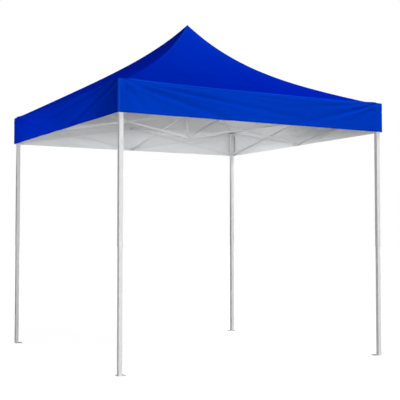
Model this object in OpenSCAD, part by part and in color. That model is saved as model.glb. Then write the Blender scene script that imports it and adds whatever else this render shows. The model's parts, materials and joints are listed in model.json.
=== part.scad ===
// Pop up canopy with a folding scissor frame, four telescopic legs and a four sided cover.
// Drawn standing open. Origin on the ground under the peak, +Z up, front along -Y.

/* [Cover] */
// Width of the cover over two opposite valances, mm
canopy_w = 2920; // [2700:20:3100]
// Height of the eave, where roof and valance meet, mm
eave_h = 2540; // [2500:10:2640]
// Height of the roof peak, mm
peak_h = 3480; // [3420:10:3600]
// Depth of the valance below the eave, mm
valance_drop = 293; // [200:1:400]
// Thickness of the cover sheet, mm
cloth_t = 1.2; // [1:0.1:3]
// Height of the folded hem at the bottom of the valance, mm
hem_h = 25; // [10:1:60]
// Share of the hip line that is straight, the rest hangs in a curve
hip_straight = 0.6; // [0.4:0.01:1]

/* [Legs] */
// Distance from the cover's outside face to the leg axis, mm
leg_inset = 41; // [41:1:60]
// Outside width of the square outer leg tube, mm
leg_w = 38; // [36:1:38]
// Wall of the outer leg tube, mm
leg_wall = 1.2; // [1.2:0.1:2]
// Wall of the inner leg tube, mm
inner_wall = 1.6; // [1:0.1:2]
// Length of the inner leg tube above its foot plate, mm
inner_leg_len = 1386; // [1350:2:1390]
// How far the inner leg slides up for packing, mm
leg_stroke = 870; // [600:10:870]
// Spacing of the height setting holes, mm
height_step = 100; // [60:10:150]

/* [Scissor frame] */
// Height between the upper and lower pivots when the frame is open, mm
truss_rise = 240; // [200:5:260]
// Turn of each bar from open to folded, degrees
fold_turn = 77; // [60:1:77]
// Height of a scissor bar, mm
bar_h = 20; // [16:1:20]
// Thickness of a scissor bar, mm
bar_t = 11; // [8:1:11]
// Wall of the scissor bar tube, mm
bar_wall = 0.8; // [0.8:0.1:1.5]
// Pivot bolt diameter, mm
bolt_d = 6; // [5:0.5:6]

/* [Centre pole] */
// Outside diameter of the lower pole tube, mm
pole_d = 25; // [22:0.5:25]
// Length of the lower pole tube, mm
pole_len = 750; // [600:10:800]
// Length of the sliding peak tube, mm
peak_tube_len = 780; // [700:10:800]

/* [Feet] */
// Thickness of the foot plate, mm
foot_t = 5; // [3:0.5:6]
// Diameter of the stake hole, mm
stake_d = 10; // [8:0.5:14]

/* [Output] */

/* [Hidden] */
$fn = 48;
eps = 0.5;
half_w = canopy_w / 2;
leg_at = half_w - leg_inset;
pivot_drop = 35;
upper_z = eave_h - pivot_drop;
lower_z = upper_z - truss_rise;

// Pivot offsets. Both pairs add up to pivot_sum, which keeps the frame square at every angle.
leg_pivot = 42;
mid_pivot = 22;
hub_pivot = 30;
arm_pivot = 34;
pivot_sum = leg_pivot + mid_pivot;
span = leg_at - pivot_sum;
bar_len = sqrt(span * span + truss_rise * truss_rise);
open_angle = atan2(truss_rise, span);

// Bars and pivots
layer = bar_t / 2 + 1;
bar_end = 10;
bolt_hole_d = bolt_d + 0.4;
cheek_hole_d = bolt_d + 0.2;
head_d = 10.5;
head_h = 3.5;
nut_d = 11;
nut_h = 4;
bolt_gap = 0.1;
washer_d = 15;
washer_t = 1.6;

// Channel shaped ends of the castings
cheek_t = 2.5;
bar_gap = 0.3;
chan_in = bar_t + 2 * bar_gap;
chan_w = chan_in + 2 * cheek_t;
chan_top = 12;
chan_floor = 18;
floor_t = 3;
swing = 15.5;
lug_end = 12;

// Leg parts
slide_gap = 0.4;
tube_gap = 0.5;
inner_w = leg_w - 2 * leg_wall - 2 * tube_gap;
socket_wall = 2.3;
socket_gap = 0.2;
socket_w = leg_w + 2 * socket_gap + 2 * socket_wall;
slider_wall = 3.6;
slider_w = leg_w + 2 * slide_gap + 2 * slider_wall;
socket_drop = 34;
socket_rise = 22;
seat_gap = 0.5;
leg_top = upper_z + chan_floor - seat_gap;
fold_margin = 20;
outer_bottom = upper_z - bar_len * sin(open_angle + fold_turn) - chan_floor - fold_margin;
outer_leg_len = leg_top - outer_bottom;
slider_top = 46;
lock_rise = 26;
lock_z = lower_z + lock_rise;
snap_rise = 35;
snap_z = outer_bottom + snap_rise;

// Lock pin of the slider, drawn released
lock_pin_d = 8;
lock_hole_d = lock_pin_d + 1;
lock_guide_d = lock_pin_d + 0.4;
lock_tip = leg_w / 2 + 0.6;
lock_head_d = 15;
lock_head_at = 33;
lock_head_t = 3;
lock_boss_d = 20;
lock_boss_end = 26.5;

// Snap button of the leg, drawn pushed in
snap_d = 9;
snap_hole_d = snap_d + 0.8;
snap_guide_d = snap_d + 0.4;
snap_flange_d = 13;
snap_flange_t = 1.5;
snap_back = 7;

// Centre pole
pole_wall = 1.5;
bore_gap = 0.4;
hub_boss_d = 29.8;
hub_boss_drop = 20;
peak_tube_d = pole_d - 2 * pole_wall - 2 * tube_gap;
pole_bottom = lower_z - chan_floor + seat_gap;
hub_floor_t = 4;
cap_bottom = peak_h - 56;
cap_d = 60;
cap_top_d = 16;
cap_rim_h = 8;
cap_h = 42;
cap_plug = 16;

// Foot
foot_reach = 55;
stake_at = 38;

// Cover
roof_steps = 24;
roof_slope_factor = 1.6;
cloth_drop = cloth_t * roof_slope_factor;
hem_t = 3;

tube_white = [0.93, 0.93, 0.94];
casting_grey = [0.72, 0.73, 0.75];
bar_white = [0.86, 0.87, 0.88];
bolt_steel = [0.62, 0.63, 0.65];
cover_blue = [0.03, 0.16, 0.62];

// ---- placing ----

// Side k: 0 right, 1 rear, 2 left, 3 front. Inside, +X points out of the canopy.
module at_side(k) {
    rotate([0, 0, 90 * k]) children();
}

// Leg k: 0 rear right, 1 rear left, 2 front left, 3 front right. Inside, +X and +Y point out.
module at_leg(k) {
    rotate([0, 0, 90 * k]) translate([leg_at, leg_at, 0]) children();
}

// ---- hardware ----

// Round headed bolt with its nut, along Y through the origin, for a stack from low to high
module bolt(low, high) {
    color(bolt_steel) {
        translate([0, low - bolt_gap, 0]) rotate([-90, 0, 0])
            cylinder(d = bolt_d, h = high - low + 2 * bolt_gap);
        translate([0, low - bolt_gap, 0]) rotate([90, 0, 0])
            cylinder(d = nut_d, h = nut_h, $fn = 6);
        translate([0, high + bolt_gap, 0]) rotate([-90, 0, 0])
            cylinder(d = head_d, h = head_h);
    }
}

// The same bolt for a channel whose bar lies in the middle
module channel_bolt() {
    bolt(-chan_w / 2, chan_w / 2);
}

// Square tube standing on the XY plane
module square_tube(w, wall, h) {
    difference() {
        translate([-w / 2, -w / 2, 0]) cube([w, w, h]);
        translate([-w / 2 + wall, -w / 2 + wall, -eps]) cube([w - 2 * wall, w - 2 * wall, h + 2 * eps]);
    }
}

// Hole along Y
module hole_y(d, len) {
    rotate([90, 0, 0]) cylinder(d = d, h = len, center = true);
}

// Scissor bar along +X with its first pivot on the origin
module scissor_bar() {
    color(bar_white) difference() {
        translate([-bar_end, -bar_t / 2, -bar_h / 2]) cube([bar_len + 2 * bar_end, bar_t, bar_h]);
        translate([-bar_end - eps, -bar_t / 2 + bar_wall, -bar_h / 2 + bar_wall])
            cube([bar_len + 2 * bar_end + 2 * eps, bar_t - 2 * bar_wall, bar_h - 2 * bar_wall]);
        for (x = [0, bar_len / 2, bar_len]) {
            translate([x, 0, 0]) hole_y(bolt_hole_d, bar_t + 2 * eps);
        }
    }
}

// Open ended channel: pivot on the origin, bar leaves along +X, floor below, body reaches back
module channel(back) {
    difference() {
        translate([-back, -chan_w / 2, -chan_floor]) cube([back + lug_end, chan_w, chan_floor + chan_top]);
        channel_space();
    }
}

// The room a swinging bar needs inside its channel, with the bolt hole
module channel_space() {
    translate([-swing, -chan_in / 2, -chan_floor + floor_t])
        cube([swing + lug_end + eps, chan_in, chan_floor + chan_top]);
    hole_y(cheek_hole_d, chan_w + 2 * eps);
}

// ---- centre ----

// Four channels round a bored boss, the same for both hubs
module hub_body(bore_d, turn) {
    difference() {
        union() {
            for (k = [0 : 3]) {
                at_side(k) translate([hub_pivot, turn * layer, 0]) channel(hub_pivot);
            }
            translate([0, 0, -chan_floor]) cylinder(d = hub_boss_d, h = chan_floor + hub_boss_drop);
        }
        translate([0, 0, -chan_floor - eps]) cylinder(d = bore_d, h = chan_floor + hub_boss_drop + 2 * eps);
    }
}

// Bolts of one hub
module hub_bolts(turn) {
    for (k = [0 : 3]) {
        at_side(k) translate([hub_pivot, turn * layer, 0]) channel_bolt();
    }
}

module upper_hub() {
    translate([0, 0, upper_z]) {
        color(casting_grey) mirror([0, 0, 1]) hub_body(pole_d + 2 * bore_gap, -1);
        hub_bolts(-1);
    }
}

module lower_hub() {
    translate([0, 0, lower_z]) {
        color(casting_grey) {
            hub_body(pole_d + bolt_gap, 1);
            translate([0, 0, -chan_floor - hub_floor_t]) cylinder(d = hub_boss_d, h = hub_floor_t);
        }
        hub_bolts(1);
    }
    color(tube_white) translate([0, 0, pole_bottom]) difference() {
        cylinder(d = pole_d, h = pole_len);
        translate([0, 0, -eps]) cylinder(d = pole_d - 2 * pole_wall, h = pole_len + 2 * eps);
    }
}

// Sliding tube with the round cap that carries the peak of the cover
module peak_pole() {
    tube_top = cap_bottom + cap_plug;
    color(tube_white) translate([0, 0, tube_top - peak_tube_len]) difference() {
        cylinder(d = peak_tube_d, h = peak_tube_len);
        translate([0, 0, -eps]) cylinder(d = peak_tube_d - 2 * pole_wall, h = peak_tube_len + 2 * eps);
    }
    color(casting_grey) translate([0, 0, cap_bottom]) difference() {
        union() {
            cylinder(d = cap_d, h = cap_rim_h);
            translate([0, 0, cap_rim_h]) cylinder(d1 = cap_d, d2 = cap_top_d, h = cap_h - cap_rim_h);
        }
        translate([0, 0, -eps]) cylinder(d = peak_tube_d + bolt_gap, h = cap_plug + eps + bolt_gap);
    }
}

// Inner scissor bar that starts at the upper hub and falls outwards
module arm_upper(k) {
    at_side(k) {
        translate([hub_pivot, -layer, upper_z]) rotate([0, open_angle, 0]) scissor_bar();
        translate([hub_pivot + span / 2, 0, (upper_z + lower_z) / 2]) cross_hardware();
    }
}

// Bolt and spacer washer where two bars cross
module cross_hardware() {
    bolt(-layer - bar_t / 2, layer + bar_t / 2);
    color(bolt_steel) difference() {
        rotate([90, 0, 0]) cylinder(d = washer_d, h = washer_t, center = true);
        hole_y(bolt_hole_d, washer_t + 2 * eps);
    }
}

// Inner scissor bar that starts at the lower hub and rises outwards
module arm_lower(k) {
    at_side(k) translate([hub_pivot, layer, lower_z]) rotate([0, -open_angle, 0]) scissor_bar();
}

// ---- sides ----

// Connector in the middle of a side. turn is 1 for the lower one and -1 for the upper one.
module mid_body(turn) {
    for (side = [-1, 1]) {
        translate([turn * layer, side * mid_pivot, 0]) rotate([0, 0, side * 90]) channel(mid_pivot);
    }
    translate([-arm_pivot, -turn * layer, 0]) rotate([0, 0, 180]) channel(arm_reach(turn));
}

// Length from the inner pivot back into the side channels
function arm_reach(turn) = arm_pivot + turn * layer - chan_w / 2 + eps;

module mid_bolts(turn) {
    for (side = [-1, 1]) {
        translate([turn * layer, side * mid_pivot, 0]) rotate([0, 0, 90]) mirror([0, 1, 0]) channel_bolt();
    }
    translate([-arm_pivot, -turn * layer, 0]) channel_bolt();
}

module mid_low(k) {
    at_side(k) translate([leg_at, 0, lower_z]) {
        color(casting_grey) mid_body(1);
        mid_bolts(1);
    }
}

module mid_high(k) {
    at_side(k) translate([leg_at, 0, upper_z]) {
        color(casting_grey) mirror([0, 0, 1]) mid_body(-1);
        mid_bolts(-1);
    }
}

// Side bar from the low middle connector up to a leg bracket, with the crossing bolt
module rising_bar(k, side) {
    at_side(k) {
        translate([leg_at + layer, side * mid_pivot, lower_z])
            rotate([side * open_angle, 0, 0]) rotate([0, 0, side * 90]) scissor_bar();
        translate([leg_at, side * (mid_pivot + span / 2), (upper_z + lower_z) / 2])
            rotate([0, 0, -90]) cross_hardware();
    }
}

// Side bar from the high middle connector down to a slider
module falling_bar(k, side) {
    at_side(k) translate([leg_at - layer, side * mid_pivot, upper_z])
        rotate([-side * open_angle, 0, 0]) rotate([0, 0, side * 90]) scissor_bar();
}

// ---- legs ----

// The two channels on a leg fitting. turn is 1 for the bracket and -1 for the slider.
module leg_channels(body_w, turn) {
    back = leg_pivot - body_w / 2 + eps;
    translate([turn * layer, -leg_pivot, 0]) rotate([0, 0, -90]) channel(back);
    translate([-leg_pivot, turn * layer, 0]) rotate([0, 0, 180]) channel(back);
}

module leg_bolts(turn) {
    translate([turn * layer, -leg_pivot, 0]) rotate([0, 0, -90]) channel_bolt();
    translate([-leg_pivot, turn * layer, 0]) channel_bolt();
}

module leg_bracket(k) {
    at_leg(k) translate([0, 0, upper_z]) {
        color(casting_grey) {
            mirror([0, 0, 1]) leg_channels(socket_w, 1);
            difference() {
                translate([-socket_w / 2, -socket_w / 2, -socket_drop])
                    cube([socket_w, socket_w, socket_drop + socket_rise]);
                translate([-socket_w / 2 + socket_wall, -socket_w / 2 + socket_wall, -socket_drop - eps])
                    cube([leg_w + 2 * socket_gap, leg_w + 2 * socket_gap, socket_drop + chan_floor + eps]);
            }
        }
        leg_bolts(1);
    }
}

module outer_leg(k) {
    color(tube_white) at_leg(k) difference() {
        translate([0, 0, outer_bottom]) square_tube(leg_w, leg_wall, outer_leg_len);
        translate([leg_w / 2, 0, lock_z]) rotate([0, 90, 0])
            cylinder(d = lock_hole_d, h = 4 * leg_wall, center = true);
        for (z = [0, height_step, 2 * height_step, leg_stroke]) {
            translate([0, leg_w / 2, snap_z + z]) hole_y(snap_hole_d, 4 * leg_wall);
        }
    }
}

module slider(k) {
    at_leg(k) translate([0, 0, lower_z]) {
        color(casting_grey) difference() {
            union() {
                leg_channels(slider_w, -1);
                translate([0, 0, -chan_floor]) square_tube(slider_w, slider_wall, chan_floor + slider_top);
                translate([slider_w / 2 - eps, 0, lock_rise]) rotate([0, 90, 0])
                    cylinder(d = lock_boss_d, h = lock_boss_end - slider_w / 2 + eps);
            }
            translate([leg_w / 2, 0, lock_rise]) rotate([0, 90, 0])
                cylinder(d = lock_guide_d, h = lock_boss_end);
        }
        leg_bolts(-1);
    }
}

module slider_lock(k) {
    color(bolt_steel) at_leg(k) translate([0, 0, lock_z]) rotate([0, 90, 0]) {
        translate([0, 0, lock_tip]) cylinder(d = lock_pin_d, h = lock_head_at - lock_tip + eps);
        translate([0, 0, lock_head_at]) cylinder(d = lock_head_d, h = lock_head_t);
    }
}

// Inner leg tube welded to its foot plate, which reaches in under the roof to the stake hole
module inner_leg(k) {
    color(tube_white) at_leg(k) {
        difference() {
            translate([0, 0, foot_t - eps]) square_tube(inner_w, inner_wall, inner_leg_len + eps);
            translate([0, inner_w / 2, snap_z]) hole_y(snap_guide_d, 4 * inner_wall);
        }
        difference() {
            translate([-foot_reach, -foot_reach, 0])
                cube([foot_reach + leg_w / 2, foot_reach + leg_w / 2, foot_t]);
            translate([-stake_at, -stake_at, -eps]) cylinder(d = stake_d, h = foot_t + 2 * eps);
        }
    }
}

module snap_button(k) {
    color(bolt_steel) at_leg(k) translate([0, 0, snap_z]) rotate([-90, 0, 0]) {
        translate([0, 0, snap_back]) cylinder(d = snap_flange_d, h = snap_flange_t);
        translate([0, 0, snap_back]) cylinder(d = snap_d, h = inner_w / 2 - snap_back);
    }
}

// ---- cover ----

// Height of the roof above the eave at share s of the way from eave to peak, as a share
function roof_rise(s) = hip_straight * s + (1 - hip_straight) * pow(s, 3);

function roof_point(s, drop) = [
    sqrt(2) * half_w * (1 - s),
    eave_h - drop + (peak_h - eave_h) * roof_rise(s)
];

// One closed sheet: curved roof, valance and hem
module canopy_cover() {
    outer = [for (i = [roof_steps : -1 : 0]) roof_point(i / roof_steps, 0)];
    inner = [for (i = [1 : roof_steps]) roof_point(i / roof_steps, cloth_drop)];
    rim = [
        [sqrt(2) * half_w, eave_h - valance_drop],
        [sqrt(2) * (half_w - hem_t), eave_h - valance_drop],
        [sqrt(2) * (half_w - hem_t), eave_h - valance_drop + hem_h],
        [sqrt(2) * (half_w - cloth_t), eave_h - valance_drop + hem_h],
        [sqrt(2) * (half_w - cloth_t), eave_h - cloth_drop]
    ];
    color(cover_blue) rotate([0, 0, 45]) rotate_extrude($fn = 4) polygon(concat(outer, rim, inner));
}

// ---- drawing ----

canopy_cover();
upper_hub();
lower_hub();
peak_pole();
arm_upper(0);  // arm_upper_right
arm_upper(1);  // arm_upper_rear
arm_upper(2);  // arm_upper_left
arm_upper(3);  // arm_upper_front
arm_lower(0);  // arm_lower_right
arm_lower(1);  // arm_lower_rear
arm_lower(2);  // arm_lower_left
arm_lower(3);  // arm_lower_front
mid_low(0);  // mid_low_right
mid_low(1);  // mid_low_rear
mid_low(2);  // mid_low_left
mid_low(3);  // mid_low_front
mid_high(0);  // mid_high_right
mid_high(1);  // mid_high_rear
mid_high(2);  // mid_high_left
mid_high(3);  // mid_high_front
rising_bar(0, 1);  // rising_bar_right_a
rising_bar(1, 1);  // rising_bar_rear_a
rising_bar(2, 1);  // rising_bar_left_a
rising_bar(3, 1);  // rising_bar_front_a
rising_bar(0, -1);  // rising_bar_right_b
rising_bar(1, -1);  // rising_bar_rear_b
rising_bar(2, -1);  // rising_bar_left_b
rising_bar(3, -1);  // rising_bar_front_b
falling_bar(0, 1);  // falling_bar_right_a
falling_bar(1, 1);  // falling_bar_rear_a
falling_bar(2, 1);  // falling_bar_left_a
falling_bar(3, 1);  // falling_bar_front_a
falling_bar(0, -1);  // falling_bar_right_b
falling_bar(1, -1);  // falling_bar_rear_b
falling_bar(2, -1);  // falling_bar_left_b
falling_bar(3, -1);  // falling_bar_front_b
outer_leg(0);  // outer_leg_rear_right
outer_leg(1);  // outer_leg_rear_left
outer_leg(2);  // outer_leg_front_left
outer_leg(3);  // outer_leg_front_right
leg_bracket(0);  // leg_bracket_rear_right
leg_bracket(1);  // leg_bracket_rear_left
leg_bracket(2);  // leg_bracket_front_left
leg_bracket(3);  // leg_bracket_front_right
slider(0);  // slider_rear_right
slider(1);  // slider_rear_left
slider(2);  // slider_front_left
slider(3);  // slider_front_right
slider_lock(0);  // slider_lock_rear_right
slider_lock(1);  // slider_lock_rear_left
slider_lock(2);  // slider_lock_front_left
slider_lock(3);  // slider_lock_front_right
inner_leg(0);  // inner_leg_rear_right
inner_leg(1);  // inner_leg_rear_left
inner_leg(2);  // inner_leg_front_left
inner_leg(3);  // inner_leg_front_right
snap_button(0);  // snap_button_rear_right
snap_button(1);  // snap_button_rear_left
snap_button(2);  // snap_button_front_left
snap_button(3);  // snap_button_front_right
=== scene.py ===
"""Looks of the pop up canopy: the sewn cover, the finish of the frame, a pale studio and the camera."""

import json
import math

import bpy
import numpy as np
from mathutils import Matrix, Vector

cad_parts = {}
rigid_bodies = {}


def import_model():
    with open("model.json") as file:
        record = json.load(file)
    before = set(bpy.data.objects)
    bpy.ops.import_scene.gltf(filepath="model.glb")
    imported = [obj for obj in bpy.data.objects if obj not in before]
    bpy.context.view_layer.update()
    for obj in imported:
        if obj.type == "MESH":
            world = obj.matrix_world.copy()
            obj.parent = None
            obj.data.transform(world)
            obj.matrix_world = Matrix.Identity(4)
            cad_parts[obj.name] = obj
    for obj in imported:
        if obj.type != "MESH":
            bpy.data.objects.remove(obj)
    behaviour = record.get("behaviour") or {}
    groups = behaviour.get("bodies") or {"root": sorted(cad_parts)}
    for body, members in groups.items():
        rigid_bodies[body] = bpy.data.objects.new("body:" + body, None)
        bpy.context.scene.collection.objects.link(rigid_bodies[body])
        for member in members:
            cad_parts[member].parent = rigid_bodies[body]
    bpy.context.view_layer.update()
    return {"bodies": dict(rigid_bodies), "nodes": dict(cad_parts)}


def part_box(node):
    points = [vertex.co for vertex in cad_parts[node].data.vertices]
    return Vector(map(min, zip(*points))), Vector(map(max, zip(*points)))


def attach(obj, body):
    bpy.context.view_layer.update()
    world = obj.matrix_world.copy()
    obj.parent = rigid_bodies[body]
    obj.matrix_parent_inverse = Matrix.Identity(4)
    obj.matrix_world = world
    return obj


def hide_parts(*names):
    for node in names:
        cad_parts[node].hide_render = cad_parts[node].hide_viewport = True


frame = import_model()
NODES = frame["nodes"]
BODIES = frame["bodies"]
SCENE = bpy.context.scene

# ---- sizes taken from the frame, in metres ----

COVER_LOW, COVER_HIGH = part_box("canopy_cover")
HALF = COVER_HIGH.x
PEAK = COVER_HIGH.z
HEM = COVER_LOW.z
LEG_LOW, LEG_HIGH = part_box("outer_leg_rear_right")
LEG_AT = (LEG_LOW.x + LEG_HIGH.x) / 2


def eave_height():
    """Height of the highest points on the outside face of the CAD cover."""
    heights = [v.co.z for v in NODES["canopy_cover"].data.vertices if v.co.x > HALF - 0.0005]
    return max(heights)


EAVE = eave_height()
RISE = PEAK - EAVE
HEM_DROP = EAVE - HEM

# The four sides are numbered right 0, rear 1, left 2 and front 3. Each corner has the number of the
# side that ends there, anticlockwise: rear right 0, rear left 1, front left 2 and front right 3.
LEFT, FRONT = 2, 3
FRONT_LEFT, FRONT_RIGHT = 2, 3

# ---- sizes of the sewn cover, in metres ----

SHEET = 0.0011  # cloth with its coating
HEM_SHEET = 0.0026  # the doubled hem
HEM_DEPTH = 0.025
CORNER_ROUND = 0.012
EAVE_ROLL = 0.024  # how far in from the outside face the roof starts to roll over
CORNER_ROLL = 0.006  # the same at the corners, where the cloth is pulled tight
ROLL_CLEARS = 0.4  # the share of half a side over which the one grows into the other
TIP_ROUND = 0.006
TIP_SPREAD = 0.15  # how far from the peak its rounding still shows

# For each corner: how straight its hip runs, how suddenly it steepens towards the peak, and how long
# its level shoulder over the leg is as a share of the way to the peak.
HIP_STRAIGHT = [0.66, 0.823, 0.75, 0.583]
HIP_BEND = [3.4, 5.0, 3.0, 3.4]
HIP_SHOULDER = [0.03, 0.0, 0.055, 0.039]
SHOULDER_TURN = 0.02  # how softly the shoulder turns into the slope

# Folds that fan out from the top of a corner: angle below the eave in degrees, reach, width and depth.
FRONT_LEFT_FOLDS = [
    (1.8, 2.4, 0.016, 0.0040),
    (6.5, 1.8, 0.024, 0.0110),
    (14.5, 1.2, 0.034, 0.0135),
    (46.0, 0.36, 0.036, 0.0120),
    (-5.0, 0.8, 0.022, 0.0040),
]
FRONT_RIGHT_FOLDS = [
    (6.0, 0.90, 0.018, 0.0070),
    (15.0, 0.75, 0.026, 0.0130),
    (32.0, 0.25, 0.022, 0.0050),
    (-7.0, 0.5, 0.022, 0.0036),
]
LEFT_FRONT_FOLDS = [
    (4.0, 1.6, 0.024, 0.0080),
    (12.5, 1.4, 0.040, 0.0140),
    (-6.0, 0.6, 0.022, 0.0036),
]
OTHER_FOLDS = [
    (5.0, 1.3, 0.020, 0.0070),
    (14.0, 1.2, 0.032, 0.0140),
    (29.0, 0.45, 0.030, 0.0070),
    (52.0, 0.24, 0.030, 0.0050),
    (-6.0, 0.6, 0.022, 0.0036),
]
FOLDS = {
    (FRONT, FRONT_LEFT): FRONT_LEFT_FOLDS,
    (FRONT, FRONT_RIGHT): FRONT_RIGHT_FOLDS,
    (LEFT, FRONT_LEFT): LEFT_FRONT_FOLDS,
}

WAVE = 0.0014  # slow waves of the hanging cloth
HANG_IN = 0.002  # how far the hem hangs in from the eave
PANEL_SAG = 0.014  # how far each roof panel sinks in its middle
PANEL_RIPPLE = 0.0016

# ---- how the cover gathers when the frame folds, in metres ----

FOLDED_AT = 0.135  # distance from the middle to a leg when the frame is folded
PEAK_DROP = 0.882  # how far the peak comes down
HEAP = 0.13  # how high the folded roof heaps up around it
PLEAT_DEPTH = 0.115  # how far a pleat stands out at the eave
PLEAT_FLARE = 0.05  # and how much farther at the hem
PLEATS = 6  # on each side
PLEAT_DROOP = 0.05  # the share of the lower hub's drop that a pleat's hem follows

# ---- how finely the cover is cut ----

SIDE_COLUMNS = 110
CORNER_CROWDING = 0.55  # how much the columns crowd together towards the corners
ARC_COLUMNS = 3
TIP_RINGS = [0.004, 0.008, 0.013, 0.019, 0.027, 0.037, 0.05]
MIDDLE_RINGS = (0.075, HALF - 0.22, 0.03)  # from, to, step
EAVE_RINGS = (HALF - 0.20, HALF - 1.5 * EAVE_ROLL, 15)  # from, to, how many
ROLL_STEPS = 8
VALANCE_STEPS = 21

# ---- small maths ----


def smooth(low, high, value):
    """0 below low, 1 above high, and an even rise between."""
    t = np.clip((value - low) / (high - low), 0.0, 1.0)
    return t * t * (3 - 2 * t)


def mix(a, b, share):
    return a + (b - a) * share


def bell(value):
    """1 at 0, falling away evenly on both sides."""
    return np.exp(-(value**2))


# ---- the cover's grid ----


def cover_columns():
    """One ring of the cover, anticlockwise: side number, place along the side (-1 to 1), corner turn."""
    side, place, turn = [], [], []
    for k in range(4):
        for j in range(SIDE_COLUMNS + 1):
            t = 2 * j / SIDE_COLUMNS - 1
            side.append(k)
            place.append(mix(t, math.sin(t * math.pi / 2), CORNER_CROWDING))
            turn.append(0.0)
        for j in range(1, ARC_COLUMNS + 1):
            side.append(k)
            place.append(1.0)
            turn.append(math.radians(90 * j / (ARC_COLUMNS + 1)))
    return np.array(side), np.array(place), np.array(turn)


def off_corners(place, reach):
    """0 at a side's corners, 1 from this share of half a side onwards."""
    return smooth(0.0, reach, 1 - np.abs(place))


def blended(values, side, place):
    """A per-corner value carried smoothly along each side from one corner to the next."""
    values = np.array(values)
    share = smooth(-1, 1, place)
    return mix(values[(side - 1) % 4], values[side], share)


def roof_rise(share, straight, bend, shoulder):
    """Height gained at this share of the way from eave to peak, as a share of the roof's height."""

    def ramp(at):
        past = at - shoulder
        return (past + np.sqrt(past * past + SHOULDER_TURN**2)) / 2

    s = (ramp(share) - ramp(0)) / (ramp(1) - ramp(0))
    return straight * s + (1 - straight) * s**bend


def roof_rows(hip, roll):
    """The roof's rings from the tip to where the eave starts to roll over: half width and height."""
    widths = TIP_RINGS + list(np.arange(*MIDDLE_RINGS)) + list(np.linspace(*EAVE_RINGS))
    widths = [np.full(len(roll), width) for width in widths]
    widths += [mix(widths[-1], HALF - roll, 0.5), HALF - roll]
    rows = []
    for width in widths:
        tip = TIP_ROUND * np.exp(-width / TIP_SPREAD)
        share = 1 - (np.sqrt(width * width + tip * tip) - tip) / HALF
        rows.append((width, EAVE + RISE * roof_rise(share, *hip)))
    return rows


def roll_rows(hip, roll, roof_edge):
    """The rings that roll over the eave, from the roof's slope to hanging straight down."""
    step = 0.001
    share = roll / HALF
    slope = RISE * (roof_rise(share + step, *hip) - roof_rise(share, *hip))
    tilt = np.arctan2(slope, step * HALF)
    radius = roll / (1 - np.sin(tilt))
    centre = roof_edge - radius * np.cos(tilt)
    rows = []
    for j in range(1, ROLL_STEPS + 1):
        angle = (math.pi / 2 - tilt) * (1 - j / ROLL_STEPS)
        rows.append((HALF - radius + radius * np.cos(angle), centre + radius * np.sin(angle)))
    return rows


def valance_rows(top):
    """The rings of the valance, closer together where the hem's thickness changes and at its edge."""
    face = np.full(len(top), HALF)
    hem_top = HEM + HEM_DEPTH
    falls = list(np.linspace(0, 1, VALANCE_STEPS + 1)[1:])
    rows = [(face, mix(top, hem_top + 0.0015, fall)) for fall in falls]
    for height in (hem_top - 0.0005, HEM + 0.017, HEM + 0.008, HEM):
        rows.append((face, np.full(len(top), height)))
    return rows


def profile(side, place):
    """Rings of the cover as rows of half width, height, path length and path length below the eave."""
    hip = [blended(values, side, place) for values in (HIP_STRAIGHT, HIP_BEND, HIP_SHOULDER)]
    roll = mix(CORNER_ROLL, EAVE_ROLL, off_corners(place, ROLL_CLEARS))
    rows = roof_rows(hip, roll)
    eave_row = len(rows) - 1 + ROLL_STEPS // 2
    rows += roll_rows(hip, roll, rows[-1][1])
    rows += valance_rows(rows[-1][1])
    width = np.array([r[0] for r in rows])
    height = np.array([r[1] for r in rows])
    steps = np.hypot(np.diff(width, axis=0), np.diff(height, axis=0))
    path = np.vstack([np.zeros(len(side)), np.cumsum(steps, axis=0)])
    return width, height, path, path - path[eave_row]


def crease(away, below, angle, reach, width, depth):
    """One soft valley with a ridge on each side, fanning out from the corner along its angle."""
    turn = math.radians(angle)
    along = away * math.cos(turn) + below * math.sin(turn)
    across = below * math.cos(turn) - away * math.sin(turn)
    spread_out = width * (0.45 + 0.55 * smooth(0, reach, along))
    strength = smooth(0.0, 0.10, along) * bell(along / reach)
    valley = bell(across / spread_out)
    ridge_below = bell((across - 1.7 * spread_out) / spread_out)
    ridge_above = 0.7 * bell((across + 1.6 * spread_out) / spread_out)
    return depth * strength * (0.75 * (ridge_below + ridge_above) - valley)


def sheet_relief(side, place, width, below, away_low, away_high):
    """Outward relief of the hanging and stretched cloth: fanned folds, slow waves and a slight sag."""
    relief = np.zeros(below.shape)
    near_eave = smooth(-0.30, -0.02, below)
    for k in range(4):
        here = side == k
        for corner, away in (((k - 1) % 4, away_low), (k, away_high)):
            for fold in FOLDS.get((k, corner), OTHER_FOLDS):
                relief += here * near_eave * crease(away, below, *fold)
    hang = np.clip(below / HEM_DROP, 0, 1) ** 1.4
    waves = np.sin(place * 9.1 + side * 1.7) + 0.7 * np.sin(place * 15.3 + side * 2.9 + 0.6)
    free = off_corners(place, 0.35)
    relief += hang * free * (WAVE * waves - HANG_IN)
    share = np.clip(1 - width / HALF, 0, 1)
    belly = np.sin(np.pi * share)
    ripple = np.sin(place * 7.3 + side + 6 * share) * np.sin(share * 11 + side * 2.1)
    sag = PANEL_RIPPLE * ripple * free * belly - PANEL_SAG * belly * (1 - place**2)
    relief += (below < 0) * sag
    return relief


def grid_normals(points):
    """Outward normals of a grid of points whose second axis is closed."""
    along = np.roll(points, -1, axis=1) - np.roll(points, 1, axis=1)
    down = np.gradient(points, axis=0)
    normal = np.cross(down, along)
    return normal / np.maximum(np.linalg.norm(normal, axis=2, keepdims=True), 1e-12)


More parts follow.
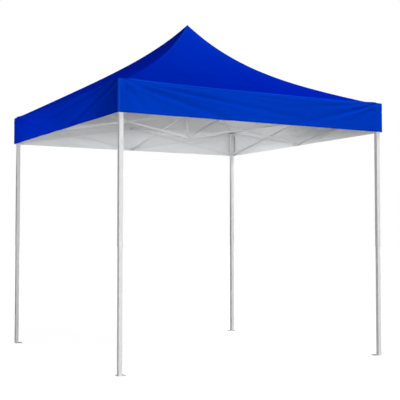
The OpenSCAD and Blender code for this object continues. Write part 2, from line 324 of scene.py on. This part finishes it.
def cover_grid():
    """Everything the cover's mesh needs, as arrays of rings by columns."""
    side, place, turn = cover_columns()
    width, height, path, below = profile(side, place)
    rounding = np.minimum(width, CORNER_ROUND)
    reach = width - rounding
    out = reach + rounding * np.cos(turn)
    sideways = place * reach + rounding * np.sin(turn)
    heading = side * math.pi / 2
    x = out * np.cos(heading) - sideways * np.sin(heading)
    y = out * np.sin(heading) + sideways * np.cos(heading)
    points = np.stack([x, y, height], axis=2)
    away_low = (1 + place) * reach
    away_high = (1 - place) * reach
    relief = sheet_relief(side, place, width, below, away_low, away_high)
    points = points + grid_normals(points) * relief[:, :, None]
    points[:, :, 2] = np.minimum(points[:, :, 2], PEAK)
    return {
        "points": points,
        "side": np.broadcast_to(side, width.shape),
        "place": np.broadcast_to(place, width.shape),
        "width": width,
        "below": below,
        "path": path,
        "along": sideways,
        "seam": np.minimum(away_low, away_high),
    }


def cover_mesh(grid):
    """A mesh from the grid, closed at the tip, with its lengths kept as a UV map and as attributes."""
    rings, columns = grid["width"].shape
    verts = [tuple(p) for p in grid["points"].reshape(-1, 3)]
    verts.append((0.0, 0.0, PEAK))
    tip = len(verts) - 1
    faces = []
    for above in range(0, (rings - 1) * columns, columns):
        under = above + columns
        for c in range(columns):
            d = (c + 1) % columns
            faces.append((above + c, under + c, under + d, above + d))
    for c in range(columns):
        faces.append((tip, c, (c + 1) % columns))
    mesh = bpy.data.meshes.new("cover_sheet")
    mesh.from_pydata(verts, [], faces)
    mesh.update()
    mesh.polygons.foreach_set("use_smooth", [True] * len(mesh.polygons))
    lengths = np.stack([grid["along"].ravel(), grid["path"].ravel()], axis=1)
    lengths = np.vstack([lengths, [[0.0, 0.0]]])
    corner_verts = np.zeros(len(mesh.loops), int)
    mesh.loops.foreach_get("vertex_index", corner_verts)
    uv = mesh.uv_layers.new(name="cloth")
    uv.data.foreach_set("uv", lengths[corner_verts].astype(np.float32).ravel())
    marks = {
        "hem_height": np.maximum(grid["points"][:, :, 2] - HEM, 0.0),
        "eave_drop": grid["below"],
        "hip_gap": grid["seam"],
    }
    for name, values in marks.items():
        mark = mesh.attributes.new(name, "FLOAT", "POINT")
        mark.data.foreach_set("value", np.append(values.ravel(), 1.0).astype(np.float32))
    return mesh


# ---- how the cover rides and folds ----


def pleat_ridges(side, place):
    """0 at the corners and in the valleys of the folded cloth, up to 1 on its ridges."""
    t = (place + 1) / 2
    t = t + 0.018 * np.sin(2 * np.pi * 3 * t + side)
    ridges = 0.5 - 0.5 * np.cos(2 * np.pi * PLEATS * t)
    uneven = 0.8 + 0.2 * np.sin(5.1 * place + 2.3 * side)
    return ridges * uneven


def folded_stand(grid, ridges, stands):
    """How high above the eave each point of the roof ends up when the frame is folded."""
    out = np.clip(grid["width"] / HALF, 0, 1)
    pleated = mix(0.5, ridges, smooth(0.15, 0.75, out))
    uneven = 1 + 0.12 * np.cos(6 * np.pi * out + 2 * grid["side"]) * ridges
    heap = HEAP * np.sin(np.pi * out) * (0.35 + 0.65 * pleated) * uneven
    return stands * (RISE - PEAK_DROP) / RISE + heap


def fold_weights(grid):
    """How far each point of the cover follows the frame as it folds, for each body that pulls it."""
    x, y, z = np.moveaxis(grid["points"], 2, 0)
    ridges = pleat_ridges(grid["side"], grid["place"])
    hang = np.clip(grid["below"] / HEM_DROP, 0, 1)
    out_share = smooth(0.1, 0.95, grid["width"] / HALF)
    held_back = ridges * out_share * (PLEAT_DEPTH + PLEAT_FLARE * hang) / (LEG_AT - FOLDED_AT)
    faces_x = grid["side"] % 2 == 0
    pull_x = np.clip(np.abs(x) / LEG_AT, 0, 1) * (1 - faces_x * held_back)
    pull_y = np.clip(np.abs(y) / LEG_AT, 0, 1) * (1 - ~faces_x * held_back)
    stands = np.clip(z - EAVE, 0, RISE)
    weights = {
        "mid_high_right": pull_x * (x > 0),
        "mid_high_left": pull_x * (x < 0),
        "mid_high_rear": pull_y * (y > 0),
        "mid_high_front": pull_y * (y < 0),
        "peak_pole": np.clip((stands - folded_stand(grid, ridges, stands)) / PEAK_DROP, 0, 1),
        "lower_hub": PLEAT_DROOP * ridges * hang,
    }
    tip = {body: 1.0 if body == "peak_pole" else 0.0 for body in weights}
    return {body: np.append(w.ravel(), tip[body]) for body, w in weights.items()}


def fill_group(piece, name, weights):
    """A vertex group holding one weight for each vertex."""
    group = piece.vertex_groups.new(name=name)
    for index, weight in enumerate(weights):
        if weight > 0:
            group.add([index], float(weight), "REPLACE")


def add_pull(cover, body, weights):
    """Lets a body of the frame drag the sheet along by these weights."""
    fill_group(cover, "pull_" + body, weights)
    hook = cover.modifiers.new("pull_" + body, "HOOK")
    hook.object = BODIES[body]
    hook.vertex_group = "pull_" + body
    hook.falloff_type = "NONE"


def build_cover():
    """The cover: one continuous sheet with a lined inside, gathered by the frame when it folds."""
    grid = cover_grid()
    cover = bpy.data.objects.new("cover", cover_mesh(grid))
    SCENE.collection.objects.link(cover)
    for body, weights in fold_weights(grid).items():
        add_pull(cover, body, weights)
    hem = smooth(HEM_DEPTH + 0.001, HEM_DEPTH - 0.001, grid["points"][:, :, 2] - HEM)
    fill_group(cover, "doubled", np.append(hem.ravel(), 0.0))
    sheet = cover.modifiers.new("sheet", "SOLIDIFY")
    sheet.thickness = HEM_SHEET
    sheet.offset = -1
    sheet.vertex_group = "doubled"
    sheet.thickness_vertex_group = SHEET / HEM_SHEET
    sheet.material_offset = 1
    cover.data.materials.append(cloth_outside())
    cover.data.materials.append(cloth_lining())
    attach(cover, "hub")
    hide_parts("canopy_cover")


# ---- materials ----

BLUE_LOW = (0.0, 0.038, 0.46, 1)
BLUE_HIGH = (0.0, 0.044, 0.52, 1)
BLUE_DEEP = (0.0, 0.026, 0.38, 1)  # between the threads of the weave
BLUE_PAINTED_SHADE = (0.0, 0.014, 0.45, 1)  # painted shade: a deeper, less green blue where the cloth is seen edge on, standing in for its shaded sides
BLUE_THREAD_AND_HIGHLIGHT = (0.004, 0.085, 0.70, 1)  # on seams, thread and the hem's edge, and as painted highlight along the hips and the eave
BLUE_SHINE = (0.0, 0.18, 1.0, 1.0)
BLUE_SHEEN = (0.0, 0.04, 1.0, 1.0)
LINING_LOW = (0.82, 0.825, 0.835, 1)
LINING_HIGH = (0.87, 0.875, 0.88, 1)
LINING_TAPE = (0.70, 0.705, 0.715, 1)
WHITE_LOW = (0.745, 0.745, 0.75, 1)
WHITE_HIGH = (0.785, 0.785, 0.785, 1)
WHITE_WORN = (0.60, 0.60, 0.61, 1)
TRUSS_LOW = (0.77, 0.77, 0.78, 1)
TRUSS_HIGH = (0.83, 0.83, 0.84, 1)
NYLON_LOW = (0.68, 0.685, 0.695, 1)
NYLON_HIGH = (0.75, 0.755, 0.76, 1)
NYLON_EDGE = (0.80, 0.80, 0.80, 1)
ZINC_LOW = (0.50, 0.50, 0.52, 1)
ZINC_HIGH = (0.68, 0.68, 0.70, 1)
DUST = (0.45, 0.42, 0.37, 1)
FLOOR_LOW = (0.13, 0.13, 0.13, 1)
FLOOR_HIGH = (0.15, 0.15, 0.15, 1)
FLOOR_BOUNCE = (0.55, 0.55, 0.55, 1)

WEAVE_PITCH = 0.0014
STITCH_PITCH = 0.0042
HEM_STITCH = HEM_DEPTH - 0.004  # above the hem's edge
EAVE_STITCHES = (0.024, 0.031)  # below the eave
HIP_STITCHES = (0.004, 0.011)  # from the hip's seam
EAVE_SEAM = 0.006  # below the eave, where its seam and the painted highlight along it run
TAPE_REACH = 0.013  # from the hip's seam
WEAR = 0.3  # how strongly worn edges of the coated tubes show
DUST_HEIGHT = 0.16  # how far up the legs the dust reaches


def new_material(name):
    """An empty material with one Principled shader, and its node tree."""
    material = bpy.data.materials.new(name)
    material.use_nodes = True
    tree = material.node_tree
    tree.nodes.clear()
    output = tree.nodes.new("ShaderNodeOutputMaterial")
    surface = tree.nodes.new("ShaderNodeBsdfPrincipled")
    tree.links.new(surface.outputs["BSDF"], output.inputs["Surface"])
    return material, tree, surface


def put(tree, socket, value):
    """Feeds a socket from another socket or with a plain value."""
    if isinstance(value, bpy.types.NodeSocket):
        tree.links.new(value, socket)
    else:
        socket.default_value = value


def calc(tree, operation, a, b=0.0):
    """One sum on two values."""
    made = tree.nodes.new("ShaderNodeMath")
    made.operation = operation
    put(tree, made.inputs[0], a)
    put(tree, made.inputs[1], b)
    return made.outputs[0]


def spread(tree, value, low, high, to_low=0.0, to_high=1.0):
    """A value taken from one range to another, held at both ends."""
    made = tree.nodes.new("ShaderNodeMapRange")
    made.interpolation_type = "SMOOTHSTEP"
    put(tree, made.inputs["Value"], value)
    put(tree, made.inputs["From Min"], low)
    put(tree, made.inputs["From Max"], high)
    put(tree, made.inputs["To Min"], to_low)
    put(tree, made.inputs["To Max"], to_high)
    return made.outputs["Result"]


def blend_colour(tree, share, a, b):
    """Colour a where share is 0, colour b where it is 1."""
    made = tree.nodes.new("ShaderNodeMix")
    made.data_type = "RGBA"
    put(tree, made.inputs[0], share)
    put(tree, made.inputs[6], a)
    put(tree, made.inputs[7], b)
    return made.outputs[2]


def noise(tree, scale, detail=3.0):
    """Soft noise fixed to the object, with this many blobs to the metre."""
    made = tree.nodes.new("ShaderNodeTexNoise")
    made.inputs["Scale"].default_value = scale
    made.inputs["Detail"].default_value = detail
    place = tree.nodes.new("ShaderNodeTexCoord").outputs["Object"]
    tree.links.new(place, made.inputs["Vector"])
    return made.outputs["Fac"]


def attribute(tree, name):
    """A length that the cover's mesh keeps at each of its points."""
    made = tree.nodes.new("ShaderNodeAttribute")
    made.attribute_name = name
    return made.outputs["Fac"]


def bump(tree, height, distance, strength, normal=None):
    """A surface normal tilted by a height of up to this distance, on top of another normal."""
    made = tree.nodes.new("ShaderNodeBump")
    made.inputs["Distance"].default_value = distance
    put(tree, made.inputs["Strength"], strength)
    tree.links.new(height, made.inputs["Height"])
    if normal is not None:
        tree.links.new(normal, made.inputs["Normal"])
    return made.outputs["Normal"]


def cloth_lengths(tree):
    """Metres along the sheet and metres down it."""
    uv = tree.nodes.new("ShaderNodeUVMap")
    uv.uv_map = "cloth"
    parts = tree.nodes.new("ShaderNodeSeparateXYZ")
    tree.links.new(uv.outputs["UV"], parts.inputs["Vector"])
    return parts.outputs["X"], parts.outputs["Y"]


def weave(tree):
    """Height of a plain weave, 0 to 1, that follows the sheet."""
    along, down = cloth_lengths(tree)
    waves = []
    for length in (along, down):
        waves.append(calc(tree, "SINE", calc(tree, "MULTIPLY", length, 2 * math.pi / WEAVE_PITCH)))
    product = calc(tree, "MULTIPLY", *waves)
    return calc(tree, "ADD", calc(tree, "MULTIPLY", product, 0.5), 0.5)


def stitch_row(tree, distance, place, run):
    """A dashed line of thread at a set distance from an edge."""
    gap = calc(tree, "ABSOLUTE", calc(tree, "SUBTRACT", distance, place))
    line = spread(tree, gap, 0.0011, 0.0006)
    dash = calc(tree, "FRACT", calc(tree, "DIVIDE", run, STITCH_PITCH))
    return calc(tree, "MULTIPLY", line, spread(tree, dash, 0.75, 0.65))


def all_stitches(tree):
    """Thread along the hem, the eave and both sides of each hip."""
    along, down = cloth_lengths(tree)
    hem = attribute(tree, "hem_height")
    eave = attribute(tree, "eave_drop")
    hip = attribute(tree, "hip_gap")
    rows = [stitch_row(tree, hem, HEM_STITCH, along)]
    rows += [stitch_row(tree, eave, place, along) for place in EAVE_STITCHES]
    rows += [stitch_row(tree, hip, place, down) for place in HIP_STITCHES]
    total = rows[0]
    for row in rows[1:]:
        total = calc(tree, "MAXIMUM", total, row)
    return total


def near(tree, distance, inner, outer, strength):
    """A band along a seam: this strong up to the inner distance from it, gone by the outer one."""
    return calc(tree, "MULTIPLY", spread(tree, distance, outer, inner), strength)


def seams_and_highlights(tree, base):
    """The cloth's colour, paler along the hip seams, the eave seam and the hem's edge; along the hips
    and the eave this is partly the seams' paler piping and partly painted highlight.
    """
    hip = attribute(tree, "hip_gap")
    # Painted highlight along each hip, partly the paler piping of its seam.
    base = blend_colour(tree, near(tree, hip, 0.002, 0.007, 0.55), base, BLUE_THREAD_AND_HIGHLIGHT)
    # Painted highlight along the eave, partly the paler piping of its seam.
    eave = calc(tree, "ABSOLUTE", calc(tree, "SUBTRACT", attribute(tree, "eave_drop"), EAVE_SEAM))
    base = blend_colour(tree, near(tree, eave, 0.002, 0.007, 0.30), base, BLUE_THREAD_AND_HIGHLIGHT)
    hem = attribute(tree, "hem_height")
    return blend_colour(tree, near(tree, hem, 0.0, 0.003, 0.5), base, BLUE_THREAD_AND_HIGHLIGHT)


def cloth_outside():
    """Royal blue coated polyester, with painted shade where it is seen edge on and painted highlight
    along its hips and eave.
    """
    material, tree, surface = new_material("cover_blue_cloth")
    clouds = spread(tree, noise(tree, 1.3, detail=4.0), 0.35, 0.7)
    base = blend_colour(tree, clouds, BLUE_LOW, BLUE_HIGH)
    threads = weave(tree)
    base = blend_colour(tree, calc(tree, "MULTIPLY", threads, 0.10), base, BLUE_DEEP)
    base = seams_and_highlights(tree, base)
    stitches = all_stitches(tree)
    base = blend_colour(tree, calc(tree, "MULTIPLY", stitches, 0.6), base, BLUE_THREAD_AND_HIGHLIGHT)
    # Painted shade: where the cloth is seen edge on, its colour turns to a deeper, less green blue that
    # stands in for the hue of its shaded sides.
    edge_on_shade = tree.nodes.new("ShaderNodeLayerWeight").outputs["Facing"]
    base = blend_colour(tree, spread(tree, edge_on_shade, 0.15, 1.0), base, BLUE_PAINTED_SHADE)
    put(tree, surface.inputs["Base Color"], base)
    put(tree, surface.inputs["Roughness"], spread(tree, noise(tree, 6.0), 0.3, 0.7, 0.52, 0.64))
    put(tree, surface.inputs["Specular IOR Level"], 0.0)
    put(tree, surface.inputs["Metallic"], 0.12)
    put(tree, surface.inputs["Specular Tint"], BLUE_SHINE)
    put(tree, surface.inputs["Sheen Weight"], 0.10)
    put(tree, surface.inputs["Sheen Roughness"], 0.45)
    put(tree, surface.inputs["Sheen Tint"], BLUE_SHEEN)
    fine = bump(tree, threads, 0.00012, 0.5)
    crumple = bump(tree, noise(tree, 9.0, detail=2.0), 0.0014, 0.35, fine)
    put(tree, surface.inputs["Normal"], bump(tree, stitches, 0.0005, 0.8, crumple))
    return material


def cloth_lining():
    """The pale grey coating on the inside of the cover, with its seam tape."""
    material, tree, surface = new_material("cover_grey_lining")
    base = blend_colour(tree, noise(tree, 2.2, detail=4.0), LINING_LOW, LINING_HIGH)
    threads = weave(tree)
    base = blend_colour(tree, calc(tree, "MULTIPLY", threads, 0.08), base, LINING_LOW)
    hip = attribute(tree, "hip_gap")
    tape = near(tree, hip, TAPE_REACH - 0.0005, TAPE_REACH + 0.0005, 0.5)
    base = blend_colour(tree, tape, base, LINING_TAPE)
    stitches = all_stitches(tree)
    base = blend_colour(tree, calc(tree, "MULTIPLY", stitches, 0.5), base, LINING_TAPE)
    put(tree, surface.inputs["Base Color"], base)
    put(tree, surface.inputs["Roughness"], 0.55)
    put(tree, surface.inputs["Specular IOR Level"], 0.3)
    fine = bump(tree, threads, 0.0001, 0.4)
    crumple = bump(tree, noise(tree, 8.0, detail=2.0), 0.0014, 0.3, fine)
    put(tree, surface.inputs["Normal"], bump(tree, stitches, 0.0004, 0.6, crumple))
    return material


def edge_mask(tree, radius):
    """1 where a solid's edges are, from how much a rounded normal turns away from the face."""
    rounded = tree.nodes.new("ShaderNodeBevel")
    rounded.samples = 4
    rounded.inputs["Radius"].default_value = radius
    plain = tree.nodes.new("ShaderNodeNewGeometry")
    dot = tree.nodes.new("ShaderNodeVectorMath")
    dot.operation = "DOT_PRODUCT"
    tree.links.new(rounded.outputs["Normal"], dot.inputs[0])
    tree.links.new(plain.outputs["Normal"], dot.inputs[1])
    return spread(tree, dot.outputs["Value"], 0.98, 0.80)


def height_above_ground(tree):
    """In metres, with the canopy standing open."""
    place = tree.nodes.new("ShaderNodeTexCoord").outputs["Object"]
    parts = tree.nodes.new("ShaderNodeSeparateXYZ")
    tree.links.new(place, parts.inputs["Vector"])
    return parts.outputs["Z"]


def powder_coat(name, low, high, dust):
    """Powder coated steel tube: fine orange peel, slightly worn edges and, near the ground, dust."""
    material, tree, surface = new_material(name)
    base = blend_colour(tree, noise(tree, 7.0, detail=4.0), low, high)
    patches = spread(tree, noise(tree, 55.0), 0.45, 0.75)
    wear = calc(tree, "MULTIPLY", edge_mask(tree, 0.0012), patches)
    base = blend_colour(tree, calc(tree, "MULTIPLY", wear, WEAR), base, WHITE_WORN)
    foot = spread(tree, height_above_ground(tree), DUST_HEIGHT, 0.0)
    dirt = calc(tree, "MULTIPLY", foot, spread(tree, noise(tree, 30.0, detail=5.0), 0.35, 0.8))
    base = blend_colour(tree, calc(tree, "MULTIPLY", dirt, dust), base, DUST)
    put(tree, surface.inputs["Base Color"], base)
    put(tree, surface.inputs["Roughness"], spread(tree, noise(tree, 18.0), 0.3, 0.7, 0.34, 0.46))
    put(tree, surface.inputs["Specular IOR Level"], 0.4)
    put(tree, surface.inputs["Normal"], bump(tree, noise(tree, 900.0, detail=1.0), 0.00006, 0.5))
    return material


def moulded_plastic():
    """Glass filled nylon of the connectors: satin, faintly mottled, paler on its rubbed edges."""
    material, tree, surface = new_material("connector_nylon")
    base = blend_colour(tree, noise(tree, 26.0, detail=4.0), NYLON_LOW, NYLON_HIGH)
    rubbed = calc(tree, "MULTIPLY", edge_mask(tree, 0.0014), 0.35)
    base = blend_colour(tree, rubbed, base, NYLON_EDGE)
    put(tree, surface.inputs["Base Color"], base)
    put(tree, surface.inputs["Roughness"], spread(tree, noise(tree, 40.0), 0.3, 0.7, 0.42, 0.58))
    put(tree, surface.inputs["Normal"], bump(tree, noise(tree, 700.0, detail=2.0), 0.00008, 0.5))
    return material


def zinc_steel():
    """Zinc plated bolts, pins and buttons."""
    material, tree, surface = new_material("zinc_steel")
    base = blend_colour(tree, noise(tree, 120.0, detail=4.0), ZINC_LOW, ZINC_HIGH)
    put(tree, surface.inputs["Base Color"], base)
    put(tree, surface.inputs["Metallic"], 0.9)
    put(tree, surface.inputs["Roughness"], spread(tree, noise(tree, 200.0), 0.3, 0.7, 0.28, 0.46))
    put(tree, surface.inputs["Normal"], bump(tree, noise(tree, 1500.0, detail=1.0), 0.00004, 0.4))
    return material


# ---- finish of the frame ----

LARGEST_HARDWARE = 0.05  # a separate solid smaller than this is a bolt, nut or washer
BAR_EDGE = 0.0003  # how far each kind of piece has its edges rounded
TUBE_EDGE = 0.0004
PIN_EDGE = 0.0005
CASTING_EDGE = 0.0008
SAME_POINT = 0.00002  # corners closer than this are welded
FLAT_ANGLE = math.radians(0.5)  # facets that meet at less are one face
SHARP_ANGLE = math.radians(35)  # edges that turn more are rounded


def solid_of_each_face(mesh):
    """Which separate solid each face belongs to, and each solid's largest side."""
    index_of = {}
    welded = []
    for v in mesh.vertices:
        key = (round(v.co.x, 5), round(v.co.y, 5), round(v.co.z, 5))
        welded.append(index_of.setdefault(key, len(index_of)))
    parent = list(range(len(index_of)))

    def root(i):
        while parent[i] != i:
            parent[i] = parent[parent[i]]
            i = parent[i]
        return i

    for face in mesh.polygons:
        first = root(welded[face.vertices[0]])
        for v in face.vertices[1:]:
            parent[root(welded[v])] = first
            first = root(first)
    corners = {}
    for v, w in zip(mesh.vertices, welded):
        corners.setdefault(root(w), []).append(v.co)
    largest = {}
    for solid, points in corners.items():
        points = np.array(points)
        largest[solid] = float((points.max(0) - points.min(0)).max())
    return [root(welded[f.vertices[0]]) for f in mesh.polygons], largest


def finish_node(name, body_material, hardware_material, bevel_width):
    """A CAD node's materials and its softened edges. Its own small solids are its hardware."""
    node = NODES[name]
    mesh = node.data
    mesh.materials.clear()
    mesh.materials.append(body_material)
    mesh.materials.append(hardware_material)
    solids, largest = solid_of_each_face(mesh)
    picks = [1 if largest[s] < LARGEST_HARDWARE else 0 for s in solids]
    if all(picks):
        picks = [0] * len(picks)
    mesh.polygons.foreach_set("material_index", picks)
    mesh.polygons.foreach_set("use_smooth", [True] * len(mesh.polygons))
    if "custom_normal" in mesh.attributes:
        mesh.attributes.remove(mesh.attributes["custom_normal"])
    weld = node.modifiers.new("weld", "WELD")
    weld.merge_threshold = SAME_POINT
    flat = node.modifiers.new("flat", "DECIMATE")
    flat.decimate_type = "DISSOLVE"
    flat.angle_limit = FLAT_ANGLE
    flat.delimit = {"MATERIAL"}
    rounding = node.modifiers.new("rounding", "BEVEL")
    rounding.width = bevel_width
    rounding.segments = 2
    rounding.limit_method = "ANGLE"
    rounding.angle_limit = SHARP_ANGLE
    rounding.harden_normals = True
    mesh.update()


def finish_frame():
    """Every carried-over CAD node gets its material."""
    legs = powder_coat("leg_white_coat", WHITE_LOW, WHITE_HIGH, dust=0.25)
    bars = powder_coat("truss_white_coat", TRUSS_LOW, TRUSS_HIGH, dust=0.0)
    nylon = moulded_plastic()
    zinc = zinc_steel()
    finishes = {
        "outer_leg": (legs, zinc, TUBE_EDGE),
        "inner_leg": (legs, zinc, TUBE_EDGE),
        "peak_pole": (legs, zinc, TUBE_EDGE),
        "lower_hub": (nylon, zinc, CASTING_EDGE),
        "upper_hub": (nylon, zinc, CASTING_EDGE),
        "mid_": (nylon, zinc, CASTING_EDGE),
        "leg_bracket": (nylon, zinc, CASTING_EDGE),
        "slider_lock": (zinc, zinc, PIN_EDGE),
        "slider_": (nylon, zinc, CASTING_EDGE),
        "snap_button": (zinc, zinc, PIN_EDGE),
        "arm_": (bars, zinc, BAR_EDGE),
        "rising_bar": (bars, zinc, BAR_EDGE),
        "falling_bar": (bars, zinc, BAR_EDGE),
    }
    for name in NODES:
        for start, finish in finishes.items():
            if name.startswith(start):
                finish_node(name, *finish)
                break


# ---- studio ----

FLOOR_REACH = 60.0
FLOOR_DROP = 0.0006  # just under the feet
FLOOR_GLOW = 0.96  # how white the floor is to the camera near the canopy
FLOOR_GLOW_FAR = 1.0  # and far from it, where it meets the white behind
GLOW_NEAR_TO_FAR = (2.0, 9.0)  # between these distances from the middle
FILL = 0.23  # strength of the light from all round
SPOT_SOFTNESS = 0.35  # radius of a soft spot's lamp

CAMERA_PLACE = (-4.532, -8.391, 1.145)
CAMERA_HEADING = 29.19  # degrees right of straight ahead
CAMERA_TILT = 2.64  # degrees up
CAMERA_LENS = 80.06


def joined(tree, kind, first, second, share=None):
    """Two shaders added up, or mixed by a share of the second."""
    made = tree.nodes.new(kind)
    if share is not None:
        tree.links.new(share, made.inputs[0])
    start = 0 if share is None else 1
    tree.links.new(first, made.inputs[start])
    tree.links.new(second, made.inputs[start + 1])
    return made.outputs["Shader"]


def diffuse(tree, colour):
    made = tree.nodes.new("ShaderNodeBsdfDiffuse")
    put(tree, made.inputs["Color"], colour)
    return made.outputs["BSDF"]


def floor_glow(tree):
    """Light of its own that makes the floor near white to the camera."""
    place = tree.nodes.new("ShaderNodeTexCoord").outputs["Object"]
    far = tree.nodes.new("ShaderNodeVectorMath")
    far.operation = "LENGTH"
    tree.links.new(place, far.inputs[0])
    glow = tree.nodes.new("ShaderNodeEmission")
    strength = spread(tree, far.outputs["Value"], *GLOW_NEAR_TO_FAR, FLOOR_GLOW, FLOOR_GLOW_FAR)
    put(tree, glow.inputs["Strength"], strength)
    return glow.outputs["Emission"]


def build_floor():
    """A plain pale floor: near white to the camera, soft grey to bounced light, clear from below."""
    mesh = bpy.data.meshes.new("floor")
    r, z = FLOOR_REACH, -FLOOR_DROP
    mesh.from_pydata([(-r, -r, z), (r, -r, z), (r, r, z), (-r, r, z)], [], [(0, 1, 2, 3)])
    floor = bpy.data.objects.new("floor", mesh)
    SCENE.collection.objects.link(floor)
    material, tree, surface = new_material("studio_floor")
    tree.nodes.remove(surface)
    shade = diffuse(tree, blend_colour(tree, noise(tree, 0.8), FLOOR_LOW, FLOOR_HIGH))
    seen = joined(tree, "ShaderNodeAddShader", shade, floor_glow(tree))
    eye = tree.nodes.new("ShaderNodeLightPath").outputs["Is Camera Ray"]
    above = joined(tree, "ShaderNodeMixShader", diffuse(tree, FLOOR_BOUNCE), seen, eye)
    below = tree.nodes.new("ShaderNodeBsdfTransparent").outputs["BSDF"]
    back = tree.nodes.new("ShaderNodeNewGeometry").outputs["Backfacing"]
    both = joined(tree, "ShaderNodeMixShader", above, below, back)
    output = next(n for n in tree.nodes if n.type == "OUTPUT_MATERIAL")
    tree.links.new(both, output.inputs["Surface"])
    mesh.materials.append(material)


def build_world():
    """White behind the object, and a softer white as fill light."""
    world = bpy.data.worlds.new("studio")
    SCENE.world = world
    world.use_nodes = True
    tree = world.node_tree
    tree.nodes.clear()
    output = tree.nodes.new("ShaderNodeOutputWorld")
    light = tree.nodes.new("ShaderNodeBackground")
    eye = tree.nodes.new("ShaderNodeLightPath").outputs["Is Camera Ray"]
    put(tree, light.inputs["Color"], (1, 1, 1, 1))
    put(tree, light.inputs["Strength"], spread(tree, eye, 0.0, 1.0, FILL, 1.0))
    tree.links.new(light.outputs["Background"], output.inputs["Surface"])


def aim(lamp, place, target):
    """Puts a lamp in its place and turns it to what it points at."""
    SCENE.collection.objects.link(lamp)
    lamp.location = place
    lamp.rotation_euler = (Vector(target) - Vector(place)).to_track_quat("-Z", "Y").to_euler()


def soft_box(name, place, target, size, power):
    """A rectangular lamp, wide and high as its size says."""
    light = bpy.data.lights.new(name, "AREA")
    light.shape = "RECTANGLE"
    light.size, light.size_y = size
    light.energy = power
    aim(bpy.data.objects.new(name, light), place, target)


def soft_spot(name, place, target, angle, flatness, power):
    """A spot whose pool of light is wider than it is high."""
    light = bpy.data.lights.new(name, "SPOT")
    light.spot_size = math.radians(angle)
    light.spot_blend = 1.0
    light.shadow_soft_size = SPOT_SOFTNESS
    light.energy = power
    lamp = bpy.data.objects.new(name, light)
    aim(lamp, place, target)
    lamp.scale = (1.0, flatness, 1.0)


def build_lights():
    """Soft boxes above and low in front, and soft spots for the left valance's face and the right and
    rear valances' insides, which the boxes leave too dark."""
    soft_box("top", (4.0, -4.0, 8.5), (0, 0, 2.5), size=(3.0, 3.0), power=440)
    soft_box("low_front", (2.5, -16.0, 1.0), (0, 0, 2.3), size=(6.0, 2.4), power=770)
    soft_box("low_left", (-9.0, -9.5, 0.8), (0.5, 0, 2.3), size=(4.0, 2.0), power=460)
    left_far, left_near = (-HALF, 0.95, EAVE - 0.15), (-HALF, -0.45, EAVE - 0.15)
    right_inside, rear_inside = (HALF, 0.9, EAVE - 0.15), (0, HALF, EAVE - 0.13)
    soft_spot("left_far", (-9.0, 2.6, 2.3), left_far, angle=15, flatness=0.33, power=2200)
    soft_spot("left_near", (-9.0, -1.2, 2.3), left_near, angle=15, flatness=0.33, power=1420)
    soft_spot("under_roof", (-6.0, -0.6, 0.7), right_inside, angle=17, flatness=1.0, power=660)
    soft_spot("under_rear", (-0.5, -11.0, 0.6), rear_inside, angle=16, flatness=0.25, power=600)


def build_camera():
    """The photo's point of view."""
    lens = bpy.data.cameras.new("camera")
    camera = bpy.data.objects.new("camera", lens)
    SCENE.collection.objects.link(camera)
    lens.lens = CAMERA_LENS
    camera.location = CAMERA_PLACE
    camera.rotation_euler = (math.radians(90 + CAMERA_TILT), 0, -math.radians(CAMERA_HEADING))
    SCENE.camera = camera


# ---- build ----

finish_frame()
build_cover()
build_floor()
build_world()
build_lights()
build_camera()
SCENE.view_settings.view_transform = "Standard"
